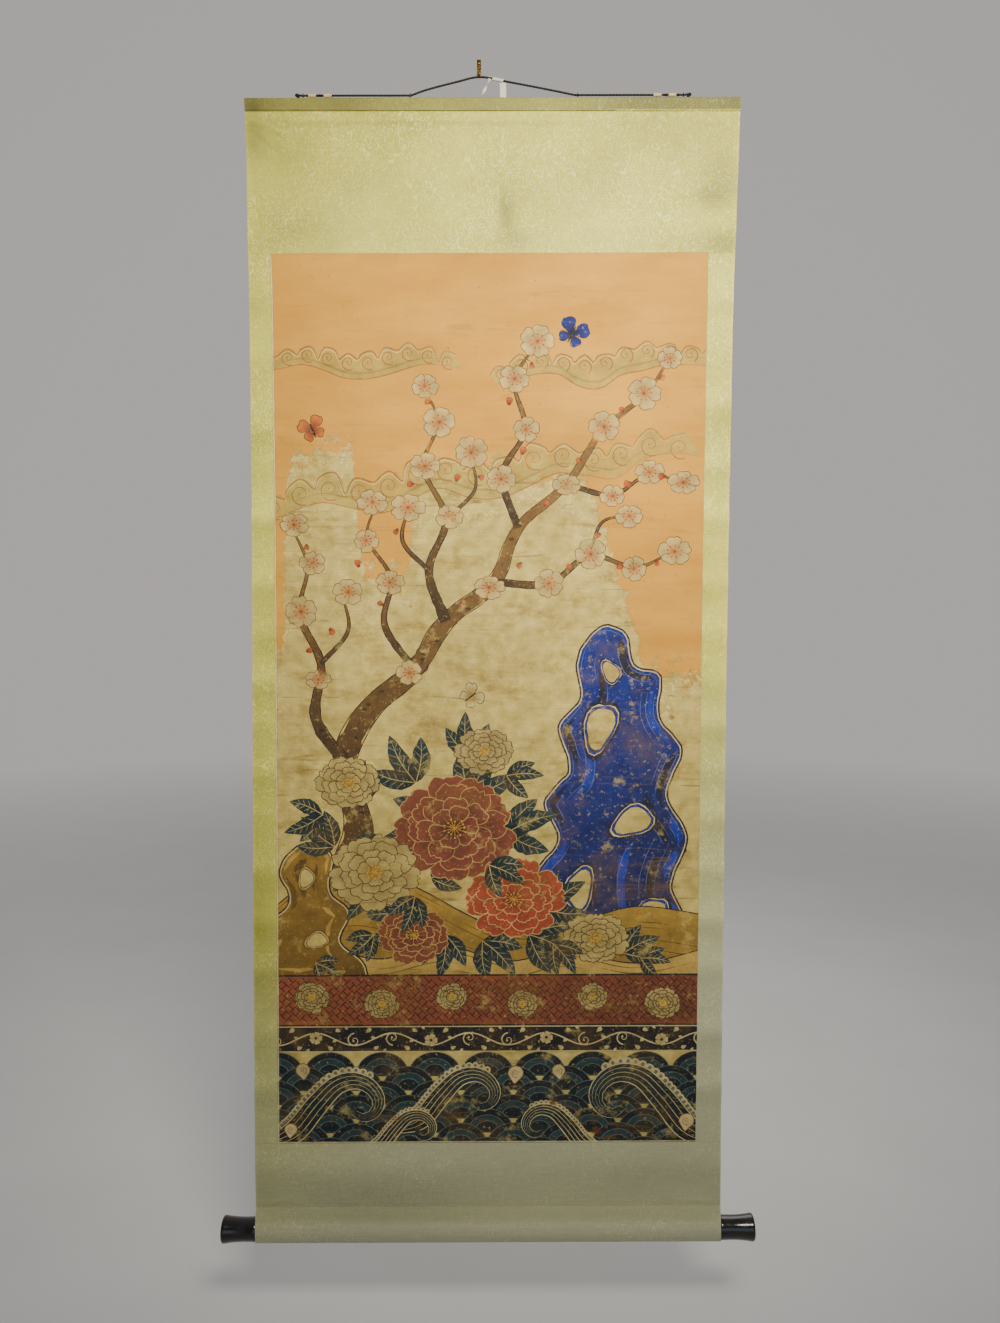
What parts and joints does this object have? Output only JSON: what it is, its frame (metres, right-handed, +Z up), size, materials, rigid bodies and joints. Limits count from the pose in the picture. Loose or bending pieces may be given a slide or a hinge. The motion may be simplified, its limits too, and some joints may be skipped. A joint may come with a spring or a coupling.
{
  "type": "hanging scroll painting with wall hook",
  "caption": "Hanging scroll: a tall painted sheet in a pale damask silk mount, with a stave and cord at the top, a roller with black ends at the foot, hung on a small brass wall hook.",
  "frame": {"origin": "middle of the wall hook's flat back, on the wall", "axes": "+Z up, +Y into the wall, +X to the right for someone who looks at the painting"},
  "size_m": [0.8321, 0.0406, 1.8108],
  "materials": {
    "damask_silk": "pale green-gold self-coloured damask silk",
    "painted_paper": "aged paper painted in opaque and ink colours",
    "stave_wood": "plain planed softwood",
    "black_lacquer": "turned wood with glossy black lacquer",
    "brass": "dull yellow brass",
    "dark_braid": "near-black braided cord",
    "cream_thread": "cream whipping thread",
    "white_ribbon": "white flat ribbon"
  },
  "bodies": {
    "root": {"top_panel": "damask_silk", "left_border": "damask_silk", "right_border": "damask_silk", "bottom_panel": "damask_silk", "painted_sheet": "painted_paper", "top_stave": "stave_wood", "roller_dowel": "stave_wood", "knob_left": "black_lacquer", "knob_right": "black_lacquer", "eyelet_outer_left": "brass", "eyelet_inner_left": "brass", "eyelet_inner_right": "brass", "eyelet_outer_right": "brass", "hanging_cord": "dark_braid", "cord_end_left": "dark_braid", "cord_end_right": "dark_braid", "whipping_1": "cream_thread", "whipping_2": "cream_thread", "whipping_3": "cream_thread", "whipping_4": "cream_thread", "tie_ribbon": "white_ribbon", "wall_hook": "brass", "hook_nail": "brass"}
  },
  "joints": []
}
